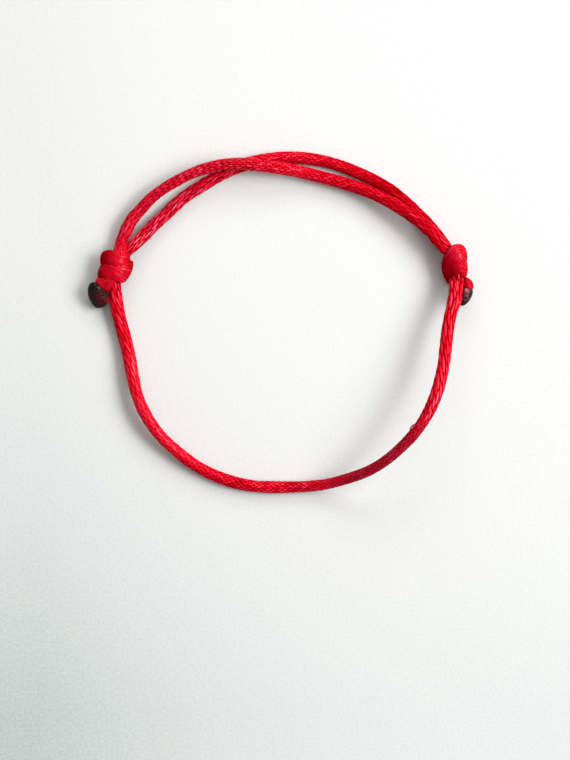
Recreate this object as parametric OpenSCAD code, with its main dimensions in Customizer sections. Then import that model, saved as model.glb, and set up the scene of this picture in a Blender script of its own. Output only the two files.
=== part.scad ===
// A drawstring bracelet made of one length of satin cord, lying on a surface.
// Two turns of each cord end are wound round the other strand as a knot that
// slides along it, and both ends are cut and melted to a dark bead.
// Millimetres, +Z up. The origin is on the surface, under the middle of the
// bracelet. The wearer's wrist goes through the loop along Z.

/* [Cord] */
// Diameter of the satin cord
cord_d = 2.0; // [1.7:0.05:2.05]
// Diameter of the strand that each knot grips, where the turns squeeze it
gripped_d = 1.45; // [1.2:0.05:1.45]
// Faces round the cord
cord_sides = 8; // [8:2:12]

/* [Knots] */
// Size of the wound turns' section, as a part of the tabled one
turn_scale = 1.0; // [0.85:0.05:1.05]
// Faces round a wound turn
turn_sides = 10; // [8:2:14]
// Rings between one tabled point of a winding and the next
turn_steps = 2; // [1:1:4]

/* [Melted ends] */
// Size of the melted beads' section, as a part of the tabled one
bead_scale = 1.0; // [0.8:0.05:1.05]
// Faces round a melted bead
bead_sides = 14; // [10:2:20]

/* [Fit] */
// Gap between two pieces of the cord where one runs on into the other
face_gap = 0.1; // [0.05:0.05:0.3]

/* [Hidden] */

satin = [0.84, 0.05, 0.15];
satin_knot = [0.90, 0.07, 0.18];
scorched = [0.17, 0.06, 0.07];

// Points where one piece runs on into the next
left_core = [-27.2, 9.5, 2.3];
right_core = [28.8, 9.8, 2.9];
left_start = [-26.7, 12.3, 1.15];
right_start = [27.9, 12.1, 1.15];
left_end = [-30.1, 5.9, 1.75];
right_end = [31.1, 5.4, 2.6];

// Round the wrist, from the left knot's middle to the right knot's middle.
// Columns: x, y, z, diameter as a part of cord_d (0 stands for gripped_d)
wrist_route = [
    [left_core.x, left_core.y, left_core.z, 0],
    [-27.4,   8.9, 2.3, 0],
    [-27.5,   7.7, 2.3, 0],
    [-27.4,   6.4, 2.2, 0.95],
    [-27.2,   3.8, 1.8, 1.05],
    [-26.8,   1.3, 1.4, 1.05],
    [-26.1,  -1.5, 1.3, 1.05],
    [-25.2,  -5.0, 1.4, 1.05],
    [-24.5,  -8.7, 1.9, 1.05],
    [-23.4, -12.9, 2.4, 0.95],
    [-21.7, -16.3, 2.5, 0.95],
    [-19.5, -19.2, 2.2, 0.95],
    [-16.9, -21.6, 1.7, 0.95],
    [-14.0, -23.8, 1.3, 0.95],
    [-10.7, -25.5, 1.1, 0.95],
    [ -7.2, -26.7, 0.95, 0.95],
    [ -3.5, -27.3, 0.95, 0.95],
    [  0.3, -27.4, 0.95, 0.95],
    [  4.0, -27.3, 1.1, 0.9],
    [  7.5, -26.9, 1.8, 0.85],
    [ 10.95, -25.95, 3.5, 0.85],
    [ 14.25, -24.7, 5.4, 0.85],
    [ 17.25, -22.85, 7.1, 0.85],
    [ 20.05, -20.4, 8.2, 0.85],
    [ 22.65, -17.45, 8.6, 0.9],
    [ 24.55, -14.3, 8.5, 0.95],
    [ 25.9,   -11, 7.8, 1],
    [ 26.75,  -7.6, 7.1, 1],
    [ 27.25,  -4.2, 6.2, 1],
    [ 27.7,  -0.9, 5.4, 0.95],
    [ 28.3,   1.9, 4.7, 0.95],
    [ 28.95,   4.4, 4.1, 1],
    [ 29.05,   6.2, 3.6, 0.95],
    [ 29.2,   7.4, 2.9, 0],
    [ 29.1,   8.7, 2.9, 0],
    [right_core.x, right_core.y, right_core.z, 0]
];

// Outer strand on the left: it passes over the other one at the top and ends
// as the strand that the right knot grips. Same columns.
over_route = [
    [left_start.x, left_start.y, left_start.z, 0.9],
    [-26.3,  13.6, 1.4, 0.9],
    [-25.5,  15.3, 1.7, 1],
    [-24.5,  17.1, 1.9, 1],
    [-23.2,  18.6, 2.1, 0.95],
    [-21.6,  20.3, 2.4, 0.95],
    [-19.6,  21.9, 2.7, 0.9],
    [-16.9,  23.5, 2.9, 0.9],
    [-13.9,  24.9, 3.0, 0.9],
    [-10.7,  25.8, 3.1, 0.95],
    [ -7.0,  26.2, 3.2, 0.95],
    [ -3.7,  26.0, 3.1, 1],
    [ -0.4,  25.6, 2.6, 1],
    [  3.3,  25.0, 1.9, 1],
    [  6.9,  24.1, 1.6, 1],
    [ 10.6,  23.1, 1.7, 1],
    [ 14.1,  21.9, 2.1, 1],
    [ 17.5,  20.3, 2.6, 1],
    [ 20.6,  18.4, 3.1, 1],
    [ 23.4,  16.4, 3.4, 1],
    [ 25.7,  14.1, 3.5, 1],
    [ 27.2,  12.4, 3.4, 1],
    [ 28.1,  11.6, 3.1, 0],
    [ 28.5,  10.9, 2.9, 0],
    [right_core.x, right_core.y, right_core.z, 0]
];

// Inner strand on the left: it passes under the other one at the top and ends
// as the strand that the right knot is wound from. Same columns.
under_route = [
    [left_core.x, left_core.y, left_core.z, 0],
    [-27.0,  10.1, 2.3, 0],
    [-26.3,  10.8, 2.5, 0],
    [-25.2,  11.8, 2.6, 0.85],
    [-24.1,  12.9, 2.2, 0.95],
    [-22.5,  14.5, 1.6, 1],
    [-20.9,  16.2, 1.2, 1],
    [-18.9,  18.1, 1.0, 1],
    [-16.4,  20.4, 1.0, 1],
    [-13.5,  22.4, 1.0, 1],
    [-10.7,  24.1, 1.0, 1],
    [ -7.9,  25.5, 1.0, 1],
    [ -5.0,  26.5, 1.0, 1],
    [ -2.0,  27.1, 1.0, 1],
    [  1.5,  27.4, 1.0, 1],
    [  5.0,  27.2, 1.0, 1],
    [  8.5,  26.5, 1.0, 0.95],
    [ 12.0,  25.3, 1.0, 0.95],
    [ 15.3,  23.8, 1.0, 0.95],
    [ 18.4,  22.0, 1.0, 0.95],
    [ 21.3,  19.6, 1.0, 0.95],
    [ 24.0,  17.0, 1.0, 0.95],
    [ 26.2,  14.4, 1.1, 0.95],
    [ 27.3,  12.9, 1.15, 0.95],
    [right_start.x, right_start.y, right_start.z, 0.95]
];

// Left knot: the strand comes in from the top left, passes under the gripped
// strand, goes twice over it from right to left, and its end leaves below.
// Columns: x, y, z, width along the gripped strand, thickness
left_turns = [
    [left_start.x, left_start.y, left_start.z, 1.8, 1.8],
    [-26.9,  11.6, 1.0, 1.8, 1.4],
    [-26.7,  11.0, 0.8, 1.7, 1.2],
    [-25.9,  10.3, 0.9, 1.5, 1.2],
    [-25.1,   9.9, 1.6, 1.4, 1.2],
    [-25.0,   9.8, 2.6, 1.4, 1.2],
    [-25.6,   9.9, 3.6, 1.7, 1.2],
    [-27.1,  10.5, 4.0, 2.1, 1.2],
    [-28.4,  10.7, 3.5, 2.1, 1.3],
    [-29.0,  10.6, 2.3, 2.1, 1.3],
    [-28.7,  10.1, 1.2, 1.9, 1.2],
    [-27.8,   9.3, 0.8, 1.6, 1.2],
    [-26.5,   8.6, 0.8, 1.5, 1.2],
    [-25.4,   8.2, 1.4, 1.4, 1.3],
    [-25.2,   8.1, 2.4, 1.5, 1.3],
    [-25.9,   8.1, 3.4, 1.9, 1.3],
    [-27.3,   8.2, 3.9, 2.2, 1.3],
    [-28.8,   8.0, 3.5, 2.2, 1.3],
    [-29.6,   7.3, 2.6, 2.1, 1.4],
    [-29.8,   6.5, 1.9, 2.0, 1.8],
    [left_end.x, left_end.y, left_end.z, 2.0, 2.0]
];
left_axis = [[-26.6, 11.0, 2.4], [-27.6, 6.6, 2.3]];

// Right knot: the strand comes in low from the top left, passes under the
// gripped strand, goes twice over it from right to left and once more under
// it, and its end leaves on the right, clear of the surface. Same
// columns.
right_turns = [
    [right_start.x, right_start.y, right_start.z, 1.9, 1.9],
    [ 28.4,  11.5, 1.1, 1.9, 1.5],
    [ 29.2,  11.3, 1.0, 1.9, 1.3],
    [ 30.0,  11.4, 1.6, 2.0, 1.2],
    [ 30.3,  11.5, 2.8, 2.1, 1.2],
    [ 29.9,  11.4, 4.0, 2.1, 1.2],
    [ 28.9,  10.8, 4.5, 2.1, 1.2],
    [ 27.7,  10.1, 4.1, 2.0, 1.2],
    [ 27.3,   9.6, 2.9, 1.9, 1.2],
    [ 27.8,   9.3, 1.7, 1.9, 1.2],
    [ 28.9,   9.0, 1.2, 1.9, 1.2],
    [ 30.1,   9.0, 1.7, 1.9, 1.2],
    [ 30.6,   9.0, 2.9, 2.0, 1.2],
    [ 30.1,   8.8, 4.1, 2.0, 1.2],
    [ 29.1,   8.3, 4.5, 2.1, 1.2],
    [ 28.0,   7.7, 4.1, 2.0, 1.2],
    [ 27.5,   7.4, 2.9, 1.9, 1.2],
    [ 28.1,   7.1, 1.7, 1.8, 1.2],
    [ 29.1,   7.0, 1.1, 1.7, 1.3],
    [ 30.1,   6.9, 1.5, 1.7, 1.4],
    [ 30.95,  6.5, 2.3, 1.7, 1.6],
    [ 31.2,   5.9, 2.6, 1.7, 1.8],
    [right_end.x, right_end.y, right_end.z, 1.8, 1.9]
];
right_axis = [[28.5, 11.5, 2.9], [29.3, 6.5, 2.9]];

// Melted beads: direction on the surface of each, away from the cord
left_bead_dir = [-0.49, -0.87, 0];
right_bead_dir = [-0.2, -0.98, 0];
// Columns: distance along, edge on one side, edge on the other, half height
left_bead = [
    [0.0, -1.4, 1.3, 1.1],
    [0.4, -1.6, 1.9, 1.5],
    [1.0, -1.6, 2.2, 1.6],
    [1.6, -1.4, 2.4, 1.6],
    [2.2, -0.9, 2.3, 1.3],
    [2.8, -0.1, 2.0, 0.9],
    [3.2,  0.9, 1.7, 0.4]
];
right_bead = [
    [0.0, -0.9, 0.9, 0.9],
    [0.4, -0.9, 1.0, 1.1],
    [1.1, -0.9, 1.0, 1.1],
    [1.8, -0.7, 0.9, 1.0],
    [2.3, -0.5, 0.6, 0.7],
    [2.6, -0.2, 0.2, 0.3]
];

function unit(v) = v / norm(v);
function xyz(p) = [p[0], p[1], p[2]];
// Direction of a route at its point i
function along(P, i) =
    unit(xyz(P[min(i + 1, len(P) - 1)]) - xyz(P[max(i - 1, 0)]));
// The route with both end points drawn back by half the gap between pieces
function drawn_back(P) = [for (i = [0 : len(P) - 1])
    let (j = i == 0 ? 1 : i - 1,
         d = (i == 0 || i == len(P) - 1)
             ? unit(xyz(P[j]) - xyz(P[i])) * face_gap / 2 : [0, 0, 0])
    [for (k = [0 : len(P[i]) - 1]) k < 3 ? P[i][k] + d[k] : P[i][k]]];
// One point of a smooth curve between rows b and c of a table
function between(a, b, c, d, t) =
    0.5 * (2 * b + (c - a) * t + (2 * a - 5 * b + 4 * c - d) * t * t
           + (3 * b - a - 3 * c + d) * t * t * t);
// The table with extra rows between its own
function finer(P, n) = concat(
    [for (i = [0 : len(P) - 2], k = [0 : n - 1])
        between(P[max(i - 1, 0)], P[i], P[i + 1],
                P[min(i + 2, len(P) - 1)], k / n)],
    [P[len(P) - 1]]);
// A ring of n points whose flat faces are w apart along b and t apart along u
function ring(c, b, u, w, t, n) =
    [for (j = [0 : n - 1])
        let (a = 360 * (j + 0.5) / n, f = 0.5 / cos(180 / n))
        c + b * w * f * cos(a) + u * t * f * sin(a)];
// Foot of the perpendicular from c on the line from A[0] to A[1]
function foot(c, A) =
    A[0] + (A[1] - A[0]) * ((c - A[0]) * (A[1] - A[0]))
           / ((A[1] - A[0]) * (A[1] - A[0]));
// Part of v that is square to t
function square_to(v, t) = unit(v - t * (v * t));

// A closed skin through rings of equally many points
module skin(rings) {
    m = len(rings);
    n = len(rings[0]);
    pts = concat([for (r = rings) each r],
                 [mean(rings[0])], [mean(rings[m - 1])]);
    polyhedron(pts, concat(
        [for (i = [0 : m - 2], j = [0 : n - 1])
            [i * n + j, i * n + (j + 1) % n, (i + 1) * n + j]],
        [for (i = [0 : m - 2], j = [0 : n - 1])
            [i * n + (j + 1) % n, (i + 1) * n + (j + 1) % n, (i + 1) * n + j]],
        [for (j = [0 : n - 1]) [m * n, (j + 1) % n, j]],
        [for (j = [0 : n - 1])
            [m * n + 1, (m - 1) * n + j, (m - 1) * n + (j + 1) % n]]));
}
function mean(r) = [for (k = [0 : 2])
    ([for (p = r) p[k]] * [for (p = r) 1]) / len(r)];

// A stretch of cord along a route
module strand(route) {
    P = drawn_back(route);
    skin([for (i = [0 : len(P) - 1])
        let (t = along(P, i), b = unit(cross(t, [0, 0, 1])), u = cross(b, t),
             d = P[i][3] == 0 ? gripped_d : P[i][3] * cord_d)
        ring(xyz(P[i]), b, u, d, d, cord_sides)]);
}

// A winding: cord pressed flat against the strand that it goes round
module winding(turns, axis) {
    P = finer(drawn_back(turns), turn_steps);
    skin([for (i = [0 : len(P) - 1])
        let (c = xyz(P[i]), t = along(P, i),
             u = square_to(c - foot(c, axis), t), b = cross(t, u))
        ring(c, b, u, P[i][3] * turn_scale, P[i][4] * turn_scale, turn_sides)]);
}

// A melted bead, rounded off at its far end
module bead(rows, end, dir) {
    d = unit(dir);
    b = [-d.y, d.x, 0];
    skin([for (r = rows)
        let (w = (r[2] - r[1]) * bead_scale, o = (r[1] + r[2]) / 2)
        ring(end + d * (r[0] + face_gap) + b * o, b, [0, 0, -1], w,
             2 * r[3] * bead_scale, bead_sides)]);
}

module wrist_strand() { color(satin) strand(wrist_route); }
module over_strand() { color(satin) strand(over_route); }
module under_strand() { color(satin) strand(under_route); }
module left_knot() { color(satin_knot) winding(left_turns, left_axis); }
module right_knot() { color(satin_knot) winding(right_turns, right_axis); }
module left_melted_end() {
    color(scorched) bead(left_bead, left_end, left_bead_dir);
}
module right_melted_end() {
    color(scorched) bead(right_bead, right_end, right_bead_dir);
}

wrist_strand();
over_strand();
under_strand();
left_knot();
right_knot();
left_melted_end();
right_melted_end();
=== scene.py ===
import bpy
import math
import numpy as np
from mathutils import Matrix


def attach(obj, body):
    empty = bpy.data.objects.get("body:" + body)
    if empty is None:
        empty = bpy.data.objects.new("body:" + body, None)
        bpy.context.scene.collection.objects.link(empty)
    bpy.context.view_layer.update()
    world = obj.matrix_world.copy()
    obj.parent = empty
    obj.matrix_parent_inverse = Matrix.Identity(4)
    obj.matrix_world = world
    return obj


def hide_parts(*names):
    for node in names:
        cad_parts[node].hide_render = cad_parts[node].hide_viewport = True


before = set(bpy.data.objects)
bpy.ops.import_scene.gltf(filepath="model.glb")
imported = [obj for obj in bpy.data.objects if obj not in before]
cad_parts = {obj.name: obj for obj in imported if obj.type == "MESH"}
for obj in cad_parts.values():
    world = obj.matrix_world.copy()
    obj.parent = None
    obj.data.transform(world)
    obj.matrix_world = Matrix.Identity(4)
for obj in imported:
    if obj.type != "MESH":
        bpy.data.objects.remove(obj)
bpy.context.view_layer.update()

MM = 0.001

# ---------------------------------------------------------------- camera
# Straight above the bracelet, far enough away for the small perspective of
# the picture: 126.67 mm of the surface from top to bottom, seen from 450 mm.
cam_data = bpy.data.cameras.new("camera")
cam_data.sensor_fit = "AUTO"
cam_data.sensor_width = 36.0
cam_data.lens = 36.0 * 450.0 / 126.67
cam_data.clip_start, cam_data.clip_end = 0.01, 20.0
cam = bpy.data.objects.new("camera", cam_data)
cam.location = (0.83 * MM, -9.58 * MM, 450.0 * MM)
bpy.context.scene.collection.objects.link(cam)
bpy.context.scene.camera = cam

# ---------------------------------------------------------------- routes (mm)
# The same points as in the part's own source. Columns: x, y, z, diameter.
CORE_L, CORE_R = (-27.2, 9.5, 2.3), (28.8, 9.8, 2.9)
START_L, START_R = (-26.7, 12.3, 1.15), (27.9, 12.1, 1.15)
GRIP = 1.45

WRIST = [
    (*CORE_L, GRIP),
    (-27.4, 8.9, 2.3, GRIP),
    (-27.5, 7.7, 2.3, GRIP),
    (-27.4, 6.4, 2.2, 1.9),
    (-27.2, 3.8, 1.8, 2.1),
    (-26.8, 1.3, 1.4, 2.1),
    (-26.1, -1.5, 1.3, 2.1),
    (-25.2, -5.0, 1.4, 2.1),
    (-24.5, -8.7, 1.9, 2.1),
    (-23.4, -12.9, 2.4, 1.9),
    (-21.7, -16.3, 2.5, 1.9),
    (-19.5, -19.2, 2.2, 1.9),
    (-16.9, -21.6, 1.7, 1.9),
    (-14.0, -23.8, 1.3, 1.9),
    (-10.7, -25.5, 1.1, 1.9),
    (-7.2, -26.7, 0.95, 1.9),
    (-3.5, -27.3, 0.95, 1.9),
    (0.3, -27.4, 0.95, 1.9),
    (4, -27.3, 1.1, 1.8),
    (7.5, -26.9, 1.8, 1.7),
    (10.95, -25.95, 3.5, 1.7),
    (14.25, -24.7, 5.4, 1.7),
    (17.25, -22.85, 7.1, 1.7),
    (20.05, -20.4, 8.2, 1.7),
    (22.65, -17.45, 8.6, 1.8),
    (24.55, -14.3, 8.5, 1.9),
    (25.9, -11, 7.8, 2),
    (26.75, -7.6, 7.1, 2),
    (27.25, -4.2, 6.2, 2),
    (27.7, -0.9, 5.4, 1.95),
    (28.3, 1.9, 4.7, 2),
    (28.95, 4.4, 4.1, 2.1),
    (29.05, 6.2, 3.6, 2.05),
    (29.2, 7.4, 2.9, GRIP),
    (29.1, 8.7, 2.9, GRIP),
    (*CORE_R, GRIP),
]
OVER = [
    (*START_L, 1.8),
    (-26.3, 13.6, 1.4, 1.8),
    (-25.5, 15.3, 1.7, 2.0),
    (-24.5, 17.1, 1.9, 2.0),
    (-23.2, 18.6, 2.1, 1.9),
    (-21.6, 20.3, 2.4, 1.9),
    (-19.6, 21.9, 2.7, 1.8),
    (-16.9, 23.5, 2.9, 1.8),
    (-13.9, 24.9, 3.0, 1.8),
    (-10.7, 25.8, 3.1, 1.9),
    (-7.0, 26.2, 3.2, 1.9),
    (-3.7, 26.0, 3.1, 2.0),
    (-0.4, 25.6, 2.6, 2.0),
    (3.3, 25.0, 1.9, 2.0),
    (6.9, 24.1, 1.6, 2.0),
    (10.6, 23.1, 1.7, 2.0),
    (14.1, 21.9, 2.1, 2.0),
    (17.5, 20.3, 2.6, 2.0),
    (20.6, 18.4, 3.1, 2.0),
    (23.4, 16.4, 3.4, 2.0),
    (25.7, 14.1, 3.5, 2.0),
    (27.2, 12.4, 3.4, 2.0),
    (28.1, 11.6, 3.1, 1.95),
    (28.5, 10.9, 2.9, 1.7),
    (*CORE_R, GRIP),
]
UNDER = [
    (*CORE_L, GRIP),
    (-27.0, 10.1, 2.3, GRIP),
    (-26.3, 10.8, 2.5, GRIP),
    (-25.2, 11.8, 2.6, 1.7),
    (-24.1, 12.9, 2.2, 1.9),
    (-22.5, 14.5, 1.6, 2.0),
    (-20.9, 16.2, 1.2, 2.0),
    (-18.9, 18.1, 1.0, 2.0),
    (-16.4, 20.4, 1.0, 2.0),
    (-13.5, 22.4, 1.0, 2.0),
    (-10.7, 24.1, 1.0, 2.0),
    (-7.9, 25.5, 1.0, 2.0),
    (-5.0, 26.5, 1.0, 2.0),
    (-2.0, 27.1, 1.0, 2.0),
    (1.5, 27.4, 1.0, 2.0),
    (5.0, 27.2, 1.0, 2.0),
    (8.5, 26.5, 1.0, 1.9),
    (12.0, 25.3, 1.0, 1.9),
    (15.3, 23.8, 1.0, 1.9),
    (18.4, 22.0, 1.0, 1.9),
    (21.3, 19.6, 1.0, 1.9),
    (24.0, 17.0, 1.0, 1.9),
    (26.2, 14.4, 1.1, 1.9),
    (27.3, 12.9, 1.15, 1.9),
    (*START_R, 1.9),
]


# ---------------------------------------------------------------- curve tools
def spline(t, y, x):
    """Natural cubic spline through (t, y), read at x. y may have columns."""
    t, y = np.asarray(t, float), np.asarray(y, float)
    one = y.ndim == 1
    if one:
        y = y[:, None]
    n = len(t)
    h = np.diff(t)
    a = np.zeros((n, n))
    r = np.zeros_like(y)
    a[0, 0] = a[-1, -1] = 1.0
    for i in range(1, n - 1):
        a[i, i - 1], a[i, i], a[i, i + 1] = h[i - 1], 2 * (h[i - 1] + h[i]), h[i]
        r[i] = 6 * ((y[i + 1] - y[i]) / h[i] - (y[i] - y[i - 1]) / h[i - 1])
    m = np.linalg.solve(a, r)
    x = np.asarray(x, float)
    k = np.clip(np.searchsorted(t, x) - 1, 0, n - 2)
    u, v = (x - t[k])[:, None], (t[k + 1] - x)[:, None]
    hk = h[k][:, None]
    out = (
        m[k] * v**3 / (6 * hk)
        + m[k + 1] * u**3 / (6 * hk)
        + (y[k] / hk - m[k] * hk / 6) * v
        + (y[k + 1] / hk - m[k + 1] * hk / 6) * u
    )
    return out[:, 0] if one else out


def smooth_keys(x, keys):
    """Table [(position, value), ...] read at x, eased between its rows."""
    p = np.array([k[0] for k in keys], float)
    v = np.array([k[1] for k in keys], float)
    k = np.clip(np.searchsorted(p, x, side="right") - 1, 0, len(p) - 2)
    u = np.clip((x - p[k]) / (p[k + 1] - p[k]), 0, 1)
    u = u * u * (3 - 2 * u)
    return v[k] * (1 - u) + v[k + 1] * u


def route(rows, step):
    """Points every step mm along a smooth curve through the rows, and the rows'
    other columns there. Also each row's distance along the curve."""
    a = np.array(rows, float)
    t = np.concatenate([[0], np.cumsum(np.linalg.norm(np.diff(a[:, :3], axis=0), axis=1))])
    fine = np.linspace(0, t[-1], int(t[-1] / 0.02) + 2)
    p = spline(t, a[:, :3], fine)
    s = np.concatenate([[0], np.cumsum(np.linalg.norm(np.diff(p, axis=0), axis=1))])
    n = max(2, int(round(s[-1] / step))) + 1
    at = np.linspace(0, s[-1], n)
    tt = np.interp(at, s, fine)
    pts = np.stack([np.interp(at, s, p[:, k]) for k in range(3)], 1)
    others = np.stack(
        [smooth_keys(tt, list(zip(t, a[:, k]))) for k in range(3, a.shape[1])], 1
    )
    return at, pts, others, np.interp(t, fine, s)


def unit(v):
    return v / np.maximum(np.linalg.norm(v, axis=-1, keepdims=True), 1e-9)


def tangents(p):
    return unit(np.gradient(p, axis=0))


def upright(p):
    """Frames with one side level and the other as near to +Z as it can be."""
    t = tangents(p)
    b = unit(np.cross(t, np.array([0.0, 0, 1])))
    return t, b, np.cross(b, t)


def hashed(a, b, c):
    """A steady number from 0 to 1 for each pair of whole numbers."""
    v = np.sin(a * 127.1 + b * 311.7 + c * 74.7) * 43758.5453
    return v - np.floor(v)


def wave(x, seed, scale):
    """A smooth steady wobble from -1 to 1 along x."""
    i = np.floor(x / scale)
    f = x / scale - i
    f = f * f * (3 - 2 * f)
    return (hashed(i, seed, 3.0) * (1 - f) + hashed(i + 1, seed, 3.0) * f) * 2 - 1


# ---------------------------------------------------------------- the braid
def braid(s, a, look, seed):
    """Height from 0 (between stitches) to 1 (on top of one) of the braid's
    surface, and a steady number for the stitch that is there.
    s: distance along, a: share of the way round, both as grids. look gives
    along s: pitch (length of a stitch), turn (rounds per mm that the columns
    wind), lean (slant of a stitch in its column, other way round in the next),
    plump and fill (its width and length as parts of its place), step (how far
    the next column is shifted), rice (0 for bars, 1 for pointed grains) and
    columns (stitches round it; where they meet is on the underside)."""
    ds = np.gradient(s[:, 0])
    q = np.cumsum(ds / look["pitch"])[:, None]
    c = (np.mod(a + 0.25, 1.0) - 0.5) * look["columns"][:, None]
    c = c - np.cumsum(ds * look["turn"] * look["columns"])[:, None]
    best = np.zeros_like(c)
    mark = np.zeros_like(c)
    lean, plump, fill, step, rice = (look[k][:, None] for k in ("lean", "plump", "fill", "step", "rice"))
    for dc in (-1, 0, 1):
        col = np.round(c) + dc
        y = c - col
        wrapped = col + 400
        odd = np.mod(wrapped, 2)
        qq = q + step * odd + 0.30 * step * (hashed(wrapped, seed, 1.0) - 0.5)
        for dr in (0, 1):
            row = np.floor(qq) + dr
            x = qq - row
            r1 = hashed(wrapped, row + seed * 7, 2.0)
            r2 = hashed(wrapped, row + seed * 7, 5.0)
            yy = y - x * lean * (1 - 2 * odd) - (r1 - 0.5) * 0.20 - (r2 - 0.5) * 0.25 * x
            xl = np.abs(x / (0.58 * fill * (0.94 + 0.12 * r1)))
            wide = 0.56 * plump * (0.9 + 0.2 * r2) * (1 - 0.35 * rice * np.clip(xl, 0, 1) ** 2)
            g = np.clip(1 - np.abs(yy / wide) ** 2.2, 0, 1) * np.clip(1 - xl**2.6, 0, 1)
            g = g**0.62 * (0.80 + 0.20 * r1) * (1 - 0.22 * (x + 0.5))
            over = g > best
            best = np.where(over, g, best)
            mark = np.where(over, hashed(wrapped, row + seed * 3, 9.0), mark)
    return best, mark


def ring_shape(n, power):
    """n points round a superellipse of half width and half height 1, evenly
    spaced for a round one. A higher power is squarer."""
    f = np.linspace(0, 2 * math.pi, n, endpoint=False)
    c, s = np.cos(f), np.sin(f)
    return np.sign(c) * np.abs(c) ** (2 / power), np.sign(s) * np.abs(s) ** (2 / power), f


def even_section(w, t, n, power):
    """Half-axis factors of a w by t section with n points spaced evenly round
    it. Arrays over the rings."""
    m = 720
    cx, cy, _ = ring_shape(m, power)
    x = cx[None] * w[:, None] / 2
    y = cy[None] * t[:, None] / 2
    d = np.sqrt(np.diff(x, axis=1, append=x[:, :1]) ** 2 + np.diff(y, axis=1, append=y[:, :1]) ** 2)
    s = np.concatenate([np.zeros((len(w), 1)), np.cumsum(d, axis=1)], 1)
    xs = np.concatenate([x, x[:, :1]], 1)
    ys = np.concatenate([y, y[:, :1]], 1)
    want = np.arange(n) / n
    px, py = np.zeros((len(w), n)), np.zeros((len(w), n))
    for i in range(len(w)):
        px[i] = np.interp(want * s[i, -1], s[i], xs[i])
        py[i] = np.interp(want * s[i, -1], s[i], ys[i])
    return px, py


def mesh_object(name, verts, faces, attributes, material):
    me = bpy.data.meshes.new(name)
    me.from_pydata((verts * MM).tolist(), [], faces)
    for key, (kind, values) in attributes.items():
        at = me.attributes.new(key, kind, "POINT")
        if kind == "FLOAT":
            at.data.foreach_set("value", np.asarray(values, np.float32).ravel())
        else:
            at.data.foreach_set("vector", np.asarray(values, np.float32).ravel())
    me.polygons.foreach_set("use_smooth", [True] * len(me.polygons))
    me.materials.append(material)
    me.update()
    ob = bpy.data.objects.new(name, me)
    bpy.context.scene.collection.objects.link(ob)
    return ob


def tube_faces(n, m, start=0):
    i, j = np.meshgrid(np.arange(n - 1), np.arange(m), indexing="ij")
    k = (j + 1) % m
    quads = np.stack([i * m + j, (i + 1) * m + j, (i + 1) * m + k, i * m + k], -1)
    faces = (quads.reshape(-1, 4) + start).tolist()
    first, last = start + n * m, start + n * m + 1
    for j in range(m):
        faces.append([first, start + j, start + (j + 1) % m])
        faces.append([last, start + (n - 1) * m + (j + 1) % m, start + (n - 1) * m + j])
    return faces


class Shape:
    """Collects tubes of braided cord into one mesh."""

    def __init__(self):
        self.v, self.f, self.n = [], [], 0
        self.at = {"tone": [], "ridge_shade": [], "dull": [], "fibre": []}

    def tube(self, rows, frames, around, step, look, seed, power=2.0,
             floor=True, rise=0.45):
        s, p, other, marks = route(rows, step)
        w = other[:, 0]
        t = other[:, 1] if other.shape[1] > 1 else w
        if frames == "ribbon":
            tan = tangents(p)
            b = other[:, 2:5]
            b = unit(b - tan * (b * tan).sum(1, keepdims=True))
            u = np.cross(b, tan)
        else:
            tan, b, u = upright(p)
        L = {}
        for key, default in (("pitch", 1.05), ("turn", 0.0), ("lean", 0.12), ("plump", 1.0),
                             ("fill", 1.0), ("step", 0.5), ("rice", 0.3), ("depth", 0.16),
                             ("dull", 0.0), ("lump", 0.03), ("columns", 14.0), ("contrast", 1.0),
                             ("painted_light", 1.0)):
            L[key] = smooth_keys(s, look[key]) if key in look else np.full(len(s), default)
        px, py = even_section(w, t, around, power)
        a = np.tile(np.arange(around) / around, (len(s), 1))
        sg = np.tile(s[:, None], (1, around))
        h, mark = braid(sg, a, L, seed)
        d = L["depth"][:, None]
        swell = 1 + L["lump"][:, None] * (
            0.6 * wave(sg, seed + 0.5, 2.7) + 0.4 * wave(sg + 40 * a, seed + 1.5, 1.9)
        )
        rad = np.sqrt(px**2 + py**2)
        new = rad * swell + d * (h - rise)
        k = new / np.maximum(rad, 1e-6)
        px, py = px * k, py * k
        v = p[:, None, :] + b[:, None, :] * px[..., None] + u[:, None, :] * py[..., None]
        if floor:
            # where it lies on the surface the cord is pressed a little flat
            z = v[..., 2]
            v[..., 2] = np.where(z < 0.06, 0.06 * np.exp(np.clip((z - 0.06) / 0.06, -40, 0)), z)
        n = len(s)
        flat = v.reshape(-1, 3)
        ends = np.stack([v[0].mean(0), v[-1].mean(0)])
        self.v.append(np.concatenate([flat, ends]))
        self.f += tube_faces(n, around, self.n)
        self.n += len(flat) + 2
        f = a * 2 * math.pi
        per = (w + t)[:, None] / 4
        fib = np.stack([np.cos(f) * per, np.sin(f) * per, sg], -1).reshape(-1, 3)
        pad = lambda g: np.concatenate([g.reshape(-1), [g.flat[0], g.flat[-1]]])
        self.at["tone"].append(pad(0.55 + (mark - 0.55) * L["contrast"][:, None]))
        # the stitch height, which the cord material paints darker between the stitches, times a level along the
        # cord that is painted light and shade
        self.at["ridge_shade"].append(pad((0.72 + (h - 0.72) * L["contrast"][:, None]) * L["painted_light"][:, None]))
        self.at["dull"].append(pad(np.tile(L["dull"][:, None], (1, around))))
        self.at["fibre"].append(np.concatenate([fib, fib[:1], fib[-1:]]))
        self.marks = marks
        return s, p, marks

    def make(self, name, material):
        at = {
            "tone": ("FLOAT", np.concatenate(self.at["tone"])),
            "ridge_shade": ("FLOAT", np.concatenate(self.at["ridge_shade"])),
            "dull": ("FLOAT", np.concatenate(self.at["dull"])),
            "fibre": ("FLOAT_VECTOR", np.concatenate(self.at["fibre"])),
        }
        return mesh_object(name, np.concatenate(self.v), self.f, at, material)


# ---------------------------------------------------------------- materials
def material(name):
    m = bpy.data.materials.new(name)
    m.use_nodes = True
    nt = m.node_tree
    return m, nt, nt.nodes["Principled BSDF"]


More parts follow.
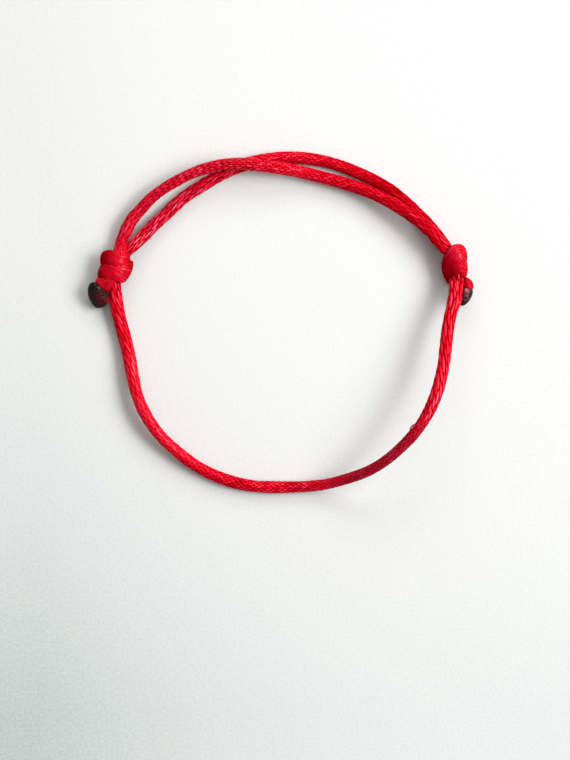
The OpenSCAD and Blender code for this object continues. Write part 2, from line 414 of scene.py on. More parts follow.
def node(nt, kind, **values):
    n = nt.nodes.new(kind)
    for k, v in values.items():
        setattr(n, k, v)
    return n


def ramp(nt, fac, stops):
    r = node(nt, "ShaderNodeValToRGB")
    while len(r.color_ramp.elements) < len(stops):
        r.color_ramp.elements.new(0.5)
    for e, (pos, col) in zip(r.color_ramp.elements, stops):
        e.position = pos
        e.color = (*col, 1)
    nt.links.new(fac, r.inputs["Fac"])
    return r.outputs["Color"]


def mix(nt, fac, a, b, kind="MIX"):
    m = node(nt, "ShaderNodeMix", data_type="RGBA", blend_type=kind)
    for sock, value in ((m.inputs[0], fac), (m.inputs[6], a), (m.inputs[7], b)):
        if hasattr(value, "default_value") or hasattr(value, "links"):
            nt.links.new(value, sock)
        elif isinstance(value, tuple):
            sock.default_value = (*value, 1)
        else:
            sock.default_value = value
    return m.outputs[2]


def maths(nt, op, a, b=None, clamp=False):
    m = node(nt, "ShaderNodeMath", operation=op, use_clamp=clamp)
    for i, value in enumerate((a, b)):
        if value is None:
            continue
        if hasattr(value, "links"):
            nt.links.new(value, m.inputs[i])
        else:
            m.inputs[i].default_value = value
    return m.outputs[0]


def attr(nt, name):
    return node(nt, "ShaderNodeAttribute", attribute_name=name)


def cord_material():
    m, nt, bsdf = material("satin_cord")
    tone, ridge_shade, dull = (attr(nt, k).outputs["Fac"] for k in ("tone", "ridge_shade", "dull"))
    fib = attr(nt, "fibre").outputs["Vector"]
    # the threads of each stitch: fine lines along the cord
    mp = node(nt, "ShaderNodeMapping")
    mp.inputs["Scale"].default_value = (9.0, 9.0, 0.55)
    nt.links.new(fib, mp.inputs["Vector"])
    lines = node(nt, "ShaderNodeTexNoise")
    lines.inputs["Scale"].default_value = 1.6
    lines.inputs["Detail"].default_value = 3.0
    nt.links.new(mp.outputs["Vector"], lines.inputs["Vector"])
    # painted shade and light: the colour is dark between the stitches and lighter on their tops, and carries the
    # level painted along the cord
    body = ramp(nt, ridge_shade, [(0.0, (0.07, 0.0, 0.0)), (0.35, (0.36, 0.0003, 0.003)),
                            (0.65, (0.66, 0.0012, 0.015)), (1.0, (0.75, 0.0027, 0.031))])
    # some stitches are lighter than others, and the lightest are painted pinker: a painted highlight
    light = ramp(nt, tone, [(0.0, (0.74, 0.74, 0.74)), (0.45, (0.96, 1.0, 1.0)), (0.8, (1.0, 1.4, 1.2)), (1.0, (1.03, 5.0, 2.6))])
    col = mix(nt, 1.0, body, light, "MULTIPLY")
    # stretches painted a duller, browner red: painted shade where the satin catches less light
    dull_shade = mix(nt, 1.0, col, (0.54, 4.2, 1.45), "MULTIPLY")
    col = mix(nt, dull, col, dull_shade)
    streak = ramp(nt, lines.outputs["Fac"], [(0.3, (0.90, 0.90, 0.90)), (0.7, (1.04, 1.04, 1.04))])
    col = mix(nt, 1.0, col, streak, "MULTIPLY")
    nt.links.new(col, bsdf.inputs["Base Color"])
    rough = node(nt, "ShaderNodeMapRange")
    rough.inputs["To Min"].default_value = 0.22
    rough.inputs["To Max"].default_value = 0.34
    nt.links.new(lines.outputs["Fac"], rough.inputs["Value"])
    nt.links.new(rough.outputs["Result"], bsdf.inputs["Roughness"])
    bump = node(nt, "ShaderNodeBump")
    bump.inputs["Strength"].default_value = 0.35
    bump.inputs["Distance"].default_value = 0.00003
    nt.links.new(lines.outputs["Fac"], bump.inputs["Height"])
    nt.links.new(bump.outputs["Normal"], bsdf.inputs["Normal"])
    # the gloss sits on top of the stitches, not between them and not at the rim
    lw = node(nt, "ShaderNodeLayerWeight")
    lw.inputs["Blend"].default_value = 0.5
    front = maths(nt, "POWER", maths(nt, "SUBTRACT", 1.0, lw.outputs["Facing"], True), 1.5)
    top = node(nt, "ShaderNodeMapRange")
    top.inputs["From Min"].default_value = 0.45
    top.inputs["From Max"].default_value = 0.9
    nt.links.new(ridge_shade, top.inputs["Value"])
    some = maths(nt, "ADD", maths(nt, "MULTIPLY", maths(nt, "POWER", tone, 2.0), 2.4), 0.17)
    gloss = maths(nt, "MULTIPLY", maths(nt, "MULTIPLY", front, top.outputs["Result"]), some)
    nt.links.new(gloss, bsdf.inputs["Specular IOR Level"])
    bsdf.inputs["Specular Tint"].default_value = (1.0, 0.33, 0.40, 1)
    return m


def melt_material(name, dark, skin, red, spot, crumb, rough):
    """Melted cord: a dark, uneven skin that is redder where it is half clear."""
    m, nt, bsdf = material(name)
    geo = node(nt, "ShaderNodeTexCoord")
    noises = []
    for scale, detail in ((1100.0, 4.0), (3400.0, 2.0), (650.0, 3.0)):
        n = node(nt, "ShaderNodeTexNoise")
        n.inputs["Scale"].default_value = scale
        n.inputs["Detail"].default_value = detail
        nt.links.new(geo.outputs["Object"], n.inputs["Vector"])
        noises.append(n.outputs["Fac"])
    warm, pale, spot_and_glint = (attr(nt, k).outputs["Fac"] for k in ("warm", "pale", "spot_and_glint"))
    base = ramp(nt, noises[2], [(0.42, dark), (0.57, skin)])
    patch = node(nt, "ShaderNodeMapRange")
    for key, value in (("From Min", 0.42), ("From Max", 0.60), ("To Min", 0.12), ("To Max", 1.25)):
        patch.inputs[key].default_value = value
    nt.links.new(noises[1], patch.inputs["Value"])
    k = maths(nt, "MULTIPLY", warm, patch.outputs["Result"], True)
    col = mix(nt, k, base, red)
    # a small lighter spot in the spot colour: the clear red of the melt on the left end, a painted highlight on the
    # right end
    col = mix(nt, maths(nt, "MULTIPLY", spot_and_glint, maths(nt, "MULTIPLY", noises[1], 2.2), True), col, spot)
    crumbs = ramp(nt, noises[1], [(0.0, (0, 0, 0)), (0.53, (0, 0, 0)), (0.62, crumb)])
    col = mix(nt, 1.0, col, mix(nt, pale, (0.0, 0.0, 0.0), crumbs), "ADD")
    nt.links.new(col, bsdf.inputs["Base Color"])
    r = node(nt, "ShaderNodeMapRange")
    r.inputs["To Min"].default_value = rough[0]
    r.inputs["To Max"].default_value = rough[1]
    nt.links.new(noises[0], r.inputs["Value"])
    nt.links.new(r.outputs["Result"], bsdf.inputs["Roughness"])
    bump = node(nt, "ShaderNodeBump")
    bump.inputs["Strength"].default_value = 1.0
    bump.inputs["Distance"].default_value = 0.00026
    nt.links.new(maths(nt, "ADD", noises[0], maths(nt, "MULTIPLY", noises[1], 0.55)), bump.inputs["Height"])
    nt.links.new(bump.outputs["Normal"], bsdf.inputs["Normal"])
    bsdf.inputs["Specular IOR Level"].default_value = 0.13
    return m


CORD = cord_material()

# ---------------------------------------------------------------- the strands
made = {}

# The outer strand goes on under the left knot
OVER_FROM_KNOT = [(-26.9, 10.9, 1.2, 1.5), (-26.85, 11.6, 1.1, 1.7)]


def seen(rows):
    """Rows given as picture position, height and thickness, in millimetres."""
    out = []
    for x, y, z, d in rows:
        k = 1 - z / 450
        x, y = (x - 280) / 6, (322.5 - y) / 6
        out.append((0.83 + (x - 0.83) * k, -9.58 + (y + 9.58) * k, z, d))
    return out


# Loose threads: four that stand off the strand where it leaves the right
# knot, and a small loop pulled out of the braid
FLOATS = [
    seen([(450.2, 274, 2.5, 0.25), (450.5, 280, 3.6, 0.45), (451.4, 288, 4.5, 0.52), (452.5, 297, 4.8, 0.46), (452.9, 305, 4.6, 0.30)]),
    seen([(452.4, 265, 2.9, 0.25), (453.4, 272, 3.3, 0.45), (454.2, 278, 4.1, 0.52), (455.6, 286, 4.75, 0.56), (457.2, 295, 5.0, 0.50), (457.8, 303, 4.7, 0.30)]),
    seen([(457.6, 260, 3.0, 0.25), (458.0, 267, 3.4, 0.45), (458.4, 273, 4.1, 0.50), (458.8, 279, 4.55, 0.46), (459.1, 286, 4.2, 0.28)]),
    seen([(459.6, 262, 2.9, 0.25), (460.8, 270, 3.2, 0.48), (461.5, 276, 3.8, 0.54), (461.8, 283, 4.1, 0.56), (460.9, 294, 4.4, 0.52), (458.6, 303, 4.8, 0.44), (456.4, 310, 4.7, 0.30)]),
    seen([(417.0, 424.3, 8.3, 0.20), (413.4, 425.0, 8.1, 0.20), (410.9, 427.0, 8.0, 0.19), (410.1, 430.2, 8.0, 0.19), (411.7, 433.0, 8.1, 0.20), (415.5, 434.2, 8.3, 0.20)]),
]


def strand(name, rows, around, step, look, seed, extra=()):
    shape = Shape()
    s, p, marks = shape.tube(rows, "upright", around, step, look, seed)
    for k, thread in enumerate(extra):
        # thin threads get a lower level: painted shade
        painted_light = 0.9 if thread[1][3] > 0.3 else 0.3
        shape.tube(thread, "upright", 16, 0.08, {"depth": [(0, 0.02), (9, 0.02)], "columns": [(0, 5), (9, 5)],
                   "pitch": [(0, 1.5), (9, 1.5)], "lump": [(0, 0.06), (9, 0.06)],
                   "painted_light": [(0, painted_light), (9, painted_light)]}, seed + 20 + k, rise=0.8)
    ob = shape.make(name, CORD)
    made[name] = (ob, s, p)
    return ob


wrist = strand(
    "wrist_cord", WRIST, 118, 0.14,
    {
        "columns": [(0, 12), (14, 12), (24, 15), (34, 15), (42, 17), (60, 18), (78, 18), (86, 11), (108, 12)],
        "pitch": [(0, 2.0), (8, 2.6), (16, 2.4), (24, 1.9), (34, 1.5), (42, 1.1), (50, 0.95), (60, 0.92), (70, 0.9), (80, 1.15), (88, 2.9), (96, 3.1), (101, 3.3), (108, 3.4)],
        "turn": [(0, 0.03), (8, 0.04), (16, 0.035), (26, 0.016), (36, 0.006), (45, 0.0), (62, 0.0), (78, 0.008), (86, 0.045), (97, 0.04), (101, 0.01), (108, 0.01)],
        "lean": [(0, 0.35), (30, 0.28), (45, 0.12), (62, 0.12), (85, 0.35), (108, 0.3)],
        "plump": [(0, 0.98), (16, 0.98), (26, 1.06), (80, 1.06), (88, 0.96), (108, 0.98)],
        "fill": [(0, 1.0), (36, 1.0), (46, 0.92), (60, 0.92), (70, 1.0), (108, 1.0)],
        "rice": [(0, 1.0), (30, 0.8), (45, 0.4), (66, 0.3), (85, 1.0), (108, 0.6)],
        "depth": [(0, 0.22), (10, 0.19), (18, 0.13), (33, 0.12), (40, 0.15), (45, 0.18), (53, 0.17), (58, 0.12), (64, 0.08), (74, 0.09), (86, 0.21), (98, 0.23), (102, 0.30), (110, 0.30)],
        "contrast": [(0, 0.9), (7, 0.85), (14, 0.68), (33, 0.66), (41, 0.98), (47, 1.35), (54, 1.3), (61, 0.72), (69, 0.75), (76, 1.15), (81, 1.1), (86, 0.82), (98, 0.82), (103, 1.0), (110, 1.0)],
        # level rows paint light and shade along the strand, and dull rows paint duller stretches where less light
        # falls
        "painted_light": [(0, 0.98), (10, 0.96), (18, 0.95), (33, 0.95), (42, 0.92), (56, 0.91), (62, 0.85), (76, 0.84), (84, 0.90), (98, 0.90), (104, 0.96), (110, 0.96)],
        "dull": [(0, 0.0), (52, 0.0), (60, 0.4), (67, 0.9), (77, 0.9), (83, 0.3), (90, 0.0), (110, 0.0)],
        "lump": [(0, 0.05), (108, 0.05)],
    },
    3.0, extra=FLOATS,
)
over = strand(
    "over_cord", OVER_FROM_KNOT + OVER, 126, 0.09,
    {
        "columns": [(0, 16), (38, 16), (48, 19), (56, 16), (70, 15)],
        "pitch": [(0, 3.0), (4, 2.6), (9, 1.3), (13, 1.08), (27, 1.08), (37, 1.1), (47, 1.1), (56, 2.0), (70, 2.4)],
        "contrast": [(0, 0.95), (10, 0.92), (24, 0.92), (31, 1.0), (40, 0.95), (50, 0.9), (56, 1.05), (70, 1.1)],
        # level rows paint light and shade along the strand, and dull rows paint duller stretches where less light
        # falls
        "painted_light": [(0, 1.12), (24, 1.12), (38, 0.97), (48, 0.74), (56, 0.72), (70, 0.78)],
        "turn": [(0, 0.0), (31, 0.0), (46, 0.012), (70, 0.012)],
        "lean": [(0, 0.1), (12, 0.05), (25, 0.05), (33, 0.14), (70, 0.2)],
        "plump": [(0, 1.05), (9, 0.95), (25, 0.90), (32, 1.0), (70, 1.05)],
        "fill": [(0, 1.0), (9, 0.95), (13, 0.88), (24, 0.88), (30, 0.95), (70, 1.0)],
        "step": [(0, 0.5), (8, 0.45), (13, 0.22), (24, 0.22), (31, 0.5), (70, 0.5)],
        "rice": [(0, 0.9), (9, 0.3), (27, 0.2), (35, 0.45), (70, 0.6)],
        "depth": [(0, 0.20), (9, 0.15), (13, 0.13), (24, 0.14), (30, 0.18), (40, 0.16), (50, 0.13), (57, 0.18), (70, 0.2)],
        "dull": [(0, 0.15), (6, 0.2), (10, 0.36), (25, 0.36), (31, 0.12), (36, 0.0), (70, 0.0)],
        "lump": [(0, 0.03), (70, 0.045)],
    },
    5.0,
)
under = strand(
    "under_cord", UNDER, 126, 0.09,
    {
        "columns": [(0, 13), (24, 13), (34, 16), (46, 18), (56, 16), (67, 15)],
        "pitch": [(0, 2.4), (8, 1.9), (20, 1.6), (28, 1.15), (38, 1.0), (46, 1.1), (56, 1.9), (67, 2.2)],
        "contrast": [(0, 1.08), (24, 1.08), (34, 1.0), (46, 0.9), (56, 1.05), (67, 1.05)],
        # level rows paint light and shade along the strand, and dull rows paint duller stretches where less light
        # falls
        "painted_light": [(0, 1.13), (24, 1.12), (34, 0.98), (44, 0.76), (52, 0.62), (67, 0.62)],
        "turn": [(0, 0.02), (20, 0.018), (40, 0.012), (67, 0.012)],
        "lean": [(0, 0.38), (22, 0.36), (40, 0.25), (67, 0.25)],
        "plump": [(0, 0.96), (24, 0.96), (34, 1.0), (67, 1.05)],
        "rice": [(0, 0.9), (20, 0.8), (67, 0.5)],
        "depth": [(0, 0.25), (24, 0.24), (34, 0.17), (46, 0.13), (56, 0.17), (67, 0.18)],
        "dull": [(0, 0.25), (22, 0.25), (30, 0.0), (67, 0.0)],
        "lump": [(0, 0.04), (67, 0.045)],
    },
    8.0,
)

# ---------------------------------------------------------------- the knots
# Each is a band of cord wound twice over the gripped strand, from right to
# left on top. Columns: x, y, z, width, thickness, direction of the width.
LEFT_TURNS = [
    (-26.8, 12.2, 1.15, 1.7, 1.6, 0.1, 1.0, 0),
    (-26.7, 11.4, 0.9, 1.9, 1.3, 0.3, 1.0, 0),
    (-26.2, 10.7, 0.8, 1.9, 1.2, 0.3, 1.0, 0),
    (-25.65, 10.3, 1.4, 1.8, 1.2, 0.2, 1.0, 0),
    (-25.45, 10.25, 2.4, 2.0, 1.2, 0.2, 1.0, 0),
    (-25.85, 10.3, 3.5, 2.4, 1.2, 0.15, 1.0, 0),
    (-27.0, 10.35, 4.05, 2.8, 1.2, 0.1, 1.0, 0),
    (-28.2, 10.6, 3.65, 2.7, 1.25, 0.1, 1.0, 0),
    (-29.15, 10.55, 2.5, 2.2, 1.3, 0.1, 1.0, 0),
    (-28.8, 10.0, 1.2, 1.9, 1.2, 0.1, 1.0, 0),
    (-27.7, 9.3, 0.75, 2.0, 1.2, 0.1, 1.0, 0),
    (-26.2, 8.8, 0.75, 2.6, 1.2, 0.3, 1.0, 0),
    (-25.5, 8.5, 1.3, 3.4, 1.3, 0.40, 0.92, 0),
    (-25.35, 8.45, 2.3, 3.9, 1.4, 0.40, 0.92, 0),
    (-25.85, 8.2, 3.25, 3.5, 1.35, 0.38, 0.92, 0),
    (-27.0, 8.15, 3.9, 2.9, 1.3, 0.27, 0.96, 0),
    (-28.5, 8.45, 3.6, 2.9, 1.25, 0.28, 0.96, 0),
    (-29.5, 8.5, 2.45, 2.95, 1.2, 0.29, 0.96, 0),
    (-29.3, 8.2, 1.2, 2.3, 1.2, 0.26, 0.97, 0),
    (-28.5, 7.6, 0.7, 1.7, 1.2, 0.2, 0.98, 0),
]
# the strand's outer fibres run on over the first turn
LEFT_LEAD = [
    (-26.15, 13.9, 1.5, 1.5, 1.2, 1.0, 0.1, 0),
    (-26.3, 13.0, 2.0, 1.9, 1.3, 1.0, 0.1, 0),
    (-26.4, 12.2, 2.8, 2.2, 1.3, 1.0, 0.1, 0),
    (-26.45, 11.5, 3.4, 2.4, 1.2, 1.0, 0.1, 0),
    (-26.6, 10.9, 3.75, 2.4, 1.0, 1.0, 0.15, 0),
    (-26.75, 10.3, 3.75, 2.2, 0.9, 1.0, 0.2, 0),
    (-26.9, 9.7, 3.45, 1.8, 0.7, 1.0, 0.2, 0),
]
LEFT_TAIL = [
    (-26.3, 7.7, 1.9, 1.4, 1.1, 0.5, 0.86, 0),
    (-26.7, 7.55, 2.9, 1.6, 1.1, 0.45, 0.9, 0),
    (-27.5, 7.45, 3.6, 2.0, 1.2, 0.35, 0.94, 0),
    (-28.3, 7.15, 3.45, 2.4, 1.5, 0.1, 1.0, 0),
    (-28.85, 6.65, 2.9, 2.7, 1.9, -0.4, 0.92, 0),
    (-29.15, 6.35, 2.6, 3.0, 2.2, -0.76, 0.65, 0),
    (-29.35, 6.05, 2.3, 2.9, 2.1, -0.78, 0.62, 0),
]
knot_l = Shape()
# in the knots the level rows paint the crests lighter and the flanks turned from the lamp darker: painted light and
# shade; dull rows paint them duller
knot_l.tube(LEFT_TURNS, "ribbon", 156, 0.10,
            {"columns": [(0, 34), (40, 34)], "pitch": [(0, 1.7), (40, 1.7)], "turn": [(0, -0.05), (14, -0.05), (24, -0.085), (40, -0.08)],
             "lean": [(0, 0.3), (40, 0.3)], "rice": [(0, 0.8), (40, 0.8)], "plump": [(0, 1.1), (40, 1.1)],
             "depth": [(0, 0.04), (40, 0.04)], "contrast": [(0, 0.75), (40, 0.75)],
             "painted_light": [(0, 0.66), (4.2, 0.64), (5.6, 0.92), (6.6, 0.80), (8.2, 0.52), (11, 0.50), (13.5, 0.54), (15.6, 0.58), (17.3, 0.94), (19.0, 0.80), (21, 0.64), (40, 0.62)],
             "dull": [(0, 0.22), (40, 0.22)], "lump": [(0, 0.02), (40, 0.02)]},
            11.0, power=2.15)
knot_l.tube(LEFT_LEAD, "ribbon", 100, 0.08,
            {"columns": [(0, 20), (9, 24)], "pitch": [(0, 2.2), (9, 2.0)], "turn": [(0, 0.02), (9, 0.03)],
             "lean": [(0, 0.25), (9, 0.25)], "rice": [(0, 0.8), (9, 0.8)], "plump": [(0, 1.05), (9, 1.08)],
             "depth": [(0, 0.12), (4, 0.06), (9, 0.03)], "contrast": [(0, 1.0), (3.5, 0.8), (9, 0.7)],
             "painted_light": [(0, 0.95), (9, 0.97)], "dull": [(0, 0.15), (9, 0.2)], "lump": [(0, 0.02), (9, 0.02)]},
            12.0)
knot_l.tube(LEFT_TAIL, "ribbon", 130, 0.07,
            {"columns": [(0, 28), (9, 28)], "pitch": [(0, 1.4), (9, 1.2)], "turn": [(0, -0.06), (9, -0.09)],
             "lean": [(0, 0.3), (9, 0.3)], "rice": [(0, 0.8), (9, 0.8)], "plump": [(0, 1.1), (9, 1.1)],
             "depth": [(0, 0.04), (9, 0.05)], "contrast": [(0, 0.75), (9, 0.8)], "painted_light": [(0, 0.72), (2.4, 0.95), (3.8, 1.0), (4.8, 0.85), (9, 0.78)],
             "dull": [(0, 0.22), (9, 0.22)], "lump": [(0, 0.02), (9, 0.02)]},
            13.0)
left_knot = knot_l.make("left_knot_turns", CORD)

RIGHT_TURNS = [
    (28.0, 11.9, 1.15, 1.8, 1.7, 0.3, 1.0, 0),
    (28.6, 11.5, 1.0, 1.9, 1.5, 0.1, 1.0, 0),
    (29.4, 11.4, 1.0, 2.1, 1.3, 0, 1.0, 0),
    (30.1, 11.3, 1.7, 2.7, 1.2, -0.1, 1.0, 0),
    (30.4, 11.15, 2.8, 3.0, 1.2, -0.1, 1.0, 0),
    (30.15, 11.25, 3.9, 3.25, 1.2, -0.22, 0.97, 0),
    (29.25, 11.2, 4.6, 3.35, 1.2, -0.50, 0.86, 0),
    (28.4, 10.2, 4.2, 3.05, 1.2, -0.62, 0.78, 0),
    (27.8, 9.0, 3.2, 3.1, 1.3, -0.35, 0.94, 0),
    (27.55, 8.6, 2.3, 3.6, 1.4, -0.2, 0.98, 0),
    (27.9, 8.7, 1.4, 2.8, 1.2, -0.1, 1.0, 0),
    (29.0, 8.9, 1.0, 2.2, 1.2, 0, 1.0, 0),
    (30.1, 8.9, 1.5, 2.9, 1.2, 0, 1.0, 0),
    (30.5, 8.85, 2.6, 3.3, 1.2, 0, 1.0, 0),
    (30.3, 9.1, 3.7, 3.3, 1.2, -0.08, 1.0, 0),
    (29.6, 9.35, 4.4, 3.1, 1.2, -0.15, 0.99, 0),
    (28.9, 9.0, 4.15, 2.7, 1.2, -0.35, 0.94, 0),
    (28.3, 8.2, 3.1, 2.7, 1.2, -0.4, 0.92, 0),
    (28.0, 7.6, 2.0, 2.4, 1.2, -0.1, 1.0, 0),
    (28.6, 7.2, 1.2, 2.0, 1.2, 0, 1.0, 0),
    (29.6, 6.9, 1.2, 1.8, 1.3, 0, 1.0, 0),
    (30.4, 6.7, 1.9, 1.8, 1.6, 0.5, 0.85, 0),
    (31.05, 6.25, 2.5, 1.9, 1.8, 0.85, 0.5, 0),
    (31.2, 5.85, 2.65, 1.75, 1.8, 1.0, 0, 0),
    (31.08, 5.4, 2.6, 1.4, 1.5, 1.0, -0.1, 0),
]
knot_r = Shape()
# in the knots the level rows paint the crests lighter and the flanks turned from the lamp darker: painted light and
# shade; dull rows paint them duller
knot_r.tube(RIGHT_TURNS, "ribbon", 156, 0.09,
            {"columns": [(0, 34), (21, 34), (23.5, 20), (40, 20)], "pitch": [(0, 2.0), (3, 0.6), (5.0, 0.6), (6.4, 1.5), (10, 2.0), (12.5, 0.5), (40, 0.5)],
             "turn": [(0, 0.045), (14, 0.045), (18, 0.01), (40, 0.0)],
             "lean": [(0, 0.3), (40, 0.3)], "rice": [(0, 0.8), (40, 0.7)], "plump": [(0, 1.08), (40, 1.0)],
             "depth": [(0, 0.04), (3, 0.055), (5, 0.055), (7, 0.035), (12, 0.04), (14, 0.055), (40, 0.08)],
             "contrast": [(0, 0.75), (40, 0.85)],
             "painted_light": [(0, 0.72), (4.5, 0.82), (6.2, 0.94), (8.0, 0.62), (10.5, 0.52), (13, 0.72), (15, 0.82), (16.8, 0.78), (18.5, 0.58), (21, 0.55), (23.3, 0.72), (26, 0.8)],
             "dull": [(0, 0.28), (40, 0.28)], "lump": [(0, 0.02), (22, 0.02), (24, 0.05), (40, 0.05)]},
            17.0, power=2.1)
right_knot = knot_r.make("right_knot_turns", CORD)

# ---------------------------------------------------------------- melted ends
# Columns: distance along, edge on one side, edge on the other, height, middle z
LEFT_BEAD = [
    (-0.4, -0.8, 0.7, 1.2, 2.3),
    (-0.25, -1.3, 1.2, 2.3, 2.2),
    (-0.05, -1.6, 1.6, 2.95, 2.1),
    (0.25, -1.78, 1.95, 3.25, 1.95),
    (0.6, -1.82, 2.22, 3.3, 1.85),
    (1.05, -1.76, 2.38, 3.3, 1.75),
    (1.45, -1.62, 2.4, 3.2, 1.7),
    (1.9, -1.25, 2.3, 3.0, 1.6),
    (2.35, -0.8, 2.08, 2.6, 1.5),
    (2.7, -0.2, 1.82, 2.0, 1.4),
    (2.95, 0.5, 1.55, 1.3, 1.4),
    (3.08, 0.95, 1.3, 0.4, 1.4),
]
RIGHT_BEAD = [
    (-0.25, -0.5, 0.5, 0.8, 2.6),
    (-0.05, -0.8, 0.78, 1.7, 2.6),
    (0.3, -0.95, 0.9, 2.1, 2.6),
    (0.8, -1.0, 0.9, 2.2, 2.6),
    (1.5, -1.03, 0.74, 2.15, 2.55),
    (2.1, -1.02, 0.44, 1.9, 2.45),
    (2.5, -0.95, 0.16, 1.5, 2.35),
    (2.75, -0.85, -0.1, 0.9, 2.25),
    (2.88, -0.7, -0.4, 0.3, 2.2),
]


def bead(name, rows, end, direction, mat, warm_at, pale_at, spot_and_glint_at, seed):
    d = np.array([direction[0], direction[1], 0.0])
    d /= np.linalg.norm(d)
    b = np.array([-d[1], d[0], 0.0])
    a = np.array(rows, float)
    n, m = 84, 96
    k = 0.5 - 0.5 * np.cos(np.linspace(0, math.pi, n))
    t = np.linspace(0, 1, len(a))
    cols = spline(t, a, k)
    cols[:, 3] = np.maximum(cols[:, 3], 0.02)
    f = np.linspace(0, 2 * math.pi, m, endpoint=False)[None]
    along, e1, e2, height, zc = (c[:, None] for c in cols.T)
    lump = 1 + 0.03 * (wave(k[:, None] * 7 + np.cos(f) * 1.6, seed, 1.0)
                       + wave(np.sin(f) * 2.4 + k[:, None] * 4, seed + 2, 0.8)
                       + 0.5 * wave(np.sin(f) * 5.0 - k[:, None] * 9, seed + 4, 0.7))
    # a little squarer than an ellipse
    cx, cy = np.sign(np.cos(f)) * np.abs(np.cos(f)) ** 0.9, np.sign(np.sin(f)) * np.abs(np.sin(f)) ** 0.9
    across = (e1 + e2) / 2 + (e2 - e1) / 2 * cx * lump
    v = np.array([end[0], end[1], 0.0]) + along[..., None] * d + across[..., None] * b
    v[..., 2] = np.maximum(zc - height / 2 * cy * lump, 0.0)
    verts = np.concatenate([v.reshape(-1, 3), np.stack([v[0].mean(0), v[-1].mean(0)])])
    at = {}
    for key, (x, y, z, size) in (("warm", warm_at), ("pale", pale_at), ("spot_and_glint", spot_and_glint_at)):
        gap = ((verts - np.array([x, y, z])) ** 2).sum(1)
        at[key] = ("FLOAT", np.exp(-gap / size**2))
    return mesh_object(name, verts, tube_faces(n, m), at, mat)


MELT_L = melt_material("scorched_end", (0.002, 0.001, 0.001), (0.012, 0.002, 0.002), (0.080, 0.0015, 0.005),
                       (0.36, 0.003, 0.013), (0.17, 0.09, 0.07), (0.45, 0.7))
MELT_R = melt_material("melted_end", (0.006, 0.0015, 0.002), (0.036, 0.009, 0.011), (0.085, 0.013, 0.018),
                       (0.40, 0.10, 0.12), (0.12, 0.055, 0.055), (0.45, 0.7))
left_bead = bead("left_bead", LEFT_BEAD, (-29.77, 5.65), (-0.594, -0.805), MELT_L,
                 (-29.6, 3.8, 3.2, 1.25), (-30.1, 5.6, 3.6, 0.6), (-28.5, 3.75, 2.2, 0.6), 2.0)
# the spot near the right end's top is a pinkish painted highlight
right_bead = bead("right_bead", RIGHT_BEAD, (31.15, 5.45), (-0.2, -0.98), MELT_R,
                  (30.7, 4.2, 3.6, 0.7), (30.8, 4.4, 3.6, 1.0), (30.85, 5.35, 3.5, 0.40), 6.0)

# ---------------------------------------------------------------- what stands for what
for ob, nodes_ in (
    (wrist, ["wrist_strand"]),
    (over, ["over_strand"]),
    (under, ["under_strand"]),
    (left_knot, ["left_knot"]),
    (right_knot, ["right_knot"]),
    (left_bead, ["left_melted_end"]),
    (right_bead, ["right_melted_end"]),
):
    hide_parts(*nodes_)
    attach(ob, "root")

for name, far, pieces in (
    ("wrist_cord", "knot", [left_knot, right_knot, left_bead, right_bead]),
    ("over_cord", "object", []),
    ("under_cord", "object", []),
):
    ob, s, p = made[name]

# ---------------------------------------------------------------- surface and light
fl, nt, bsdf = material("paper")
tc = node(nt, "ShaderNodeTexCoord")
sep = node(nt, "ShaderNodeSeparateXYZ")
nt.links.new(tc.outputs["Object"], sep.inputs["Vector"])
# painted shade: paler in the middle, darker and a little greener towards one corner, where less light falls: u runs
# from right to left, v from top to bottom
span = []
for axis, lo, hi in (("X", 0.040, -0.040), ("Y", 0.045, -0.065)):
    n = node(nt, "ShaderNodeMapRange")
    n.inputs["From Min"].default_value = lo
    n.inputs["From Max"].default_value = hi
    nt.links.new(sep.outputs[axis], n.inputs["Value"])
    span.append(n.outputs["Result"])
u, v = span
v3 = maths(nt, "POWER", v, 3.0)
k = maths(nt, "MULTIPLY", v3, maths(nt, "ADD", maths(nt, "MULTIPLY", maths(nt, "POWER", u, 3.0), 0.22), 0.105))
side = maths(nt, "MULTIPLY", maths(nt, "POWER", maths(nt, "SUBTRACT", 1.0, u), 2.0), maths(nt, "SUBTRACT", 1.0, v3))
k = maths(nt, "ADD", k, maths(nt, "MULTIPLY", side, 0.03))
k = maths(nt, "ADD", k, maths(nt, "MULTIPLY", maths(nt, "POWER", u, 3.0), 0.05))
shade = maths(nt, "MULTIPLY", maths(nt, "POWER", 2.718, maths(nt, "MULTIPLY", k, -1.0)), 0.5945)
shade_tint = mix(nt, maths(nt, "MULTIPLY", k, 3.0, True), (1.0, 1.0, 0.995), (0.95, 1.02, 1.0))
base = mix(nt, 1.0, shade, shade_tint, "MULTIPLY")
grain = node(nt, "ShaderNodeTexNoise")
grain.inputs["Scale"].default_value = 2300.0
grain.inputs["Detail"].default_value = 3.0
nt.links.new(tc.outputs["Object"], grain.inputs["Vector"])
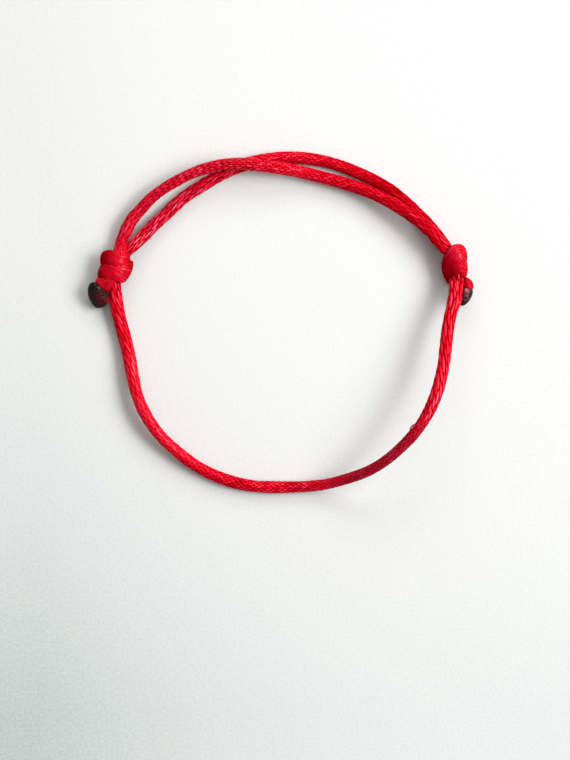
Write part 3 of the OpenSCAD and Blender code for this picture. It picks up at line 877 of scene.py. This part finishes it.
# the paper's grain, stronger where it is darker
depth = maths(nt, "ADD", maths(nt, "MULTIPLY", k, 0.95), 0.145)
speck = maths(nt, "ADD", maths(nt, "MULTIPLY", maths(nt, "SUBTRACT", grain.outputs["Fac"], 0.5), depth), 1.0)
nt.links.new(mix(nt, 1.0, base, speck, "MULTIPLY"), bsdf.inputs["Base Color"])
bsdf.inputs["Roughness"].default_value = 0.8
bsdf.inputs["Specular IOR Level"].default_value = 0.15
me = bpy.data.meshes.new("surface")
half = 1.5
me.from_pydata([(-half, -half, -2e-5), (half, -half, -2e-5), (half, half, -2e-5), (-half, half, -2e-5)], [], [(0, 1, 2, 3)])
me.materials.append(fl)
floor = bpy.data.objects.new("surface", me)
bpy.context.scene.collection.objects.link(floor)

world = bpy.data.worlds.new("world")
world.use_nodes = True
world.node_tree.nodes["Background"].inputs["Color"].default_value = (0.98, 0.96, 0.92, 1)
world.node_tree.nodes["Background"].inputs["Strength"].default_value = 0.385
bpy.context.scene.world = world


def area(name, azimuth, elevation, distance, width, height, power, colour):
    """A soft panel facing the bracelet. Azimuth from +X towards +Y."""
    data = bpy.data.lights.new(name, "AREA")
    data.shape = "RECTANGLE"
    data.size, data.size_y = width, height
    data.energy = power
    data.color = colour
    ob = bpy.data.objects.new(name, data)
    a, e = math.radians(azimuth), math.radians(elevation)
    from mathutils import Vector
    way = Vector((math.cos(a) * math.cos(e), math.sin(a) * math.cos(e), math.sin(e)))
    ob.location = way * distance
    ob.rotation_euler = way.to_track_quat("Z", "Y").to_euler()
    bpy.context.scene.collection.objects.link(ob)
    return ob


area("window", 8, 48, 0.9, 0.22, 0.22, 2.1, (1.0, 1.0, 1.0))
area("bright_side", 10, 45, 0.8, 0.72, 0.42, 7.8, (0.99, 1.0, 1.0))
area("overhead", 60, 76, 1.0, 0.6, 0.5, 0.9, (0.99, 1.0, 1.0))
area("far_side", 88, 34, 1.0, 0.9, 0.4, 5.2, (0.99, 1.0, 1.0))

bpy.context.scene.view_settings.view_transform = "Standard"
bpy.context.scene.view_settings.look = "None"
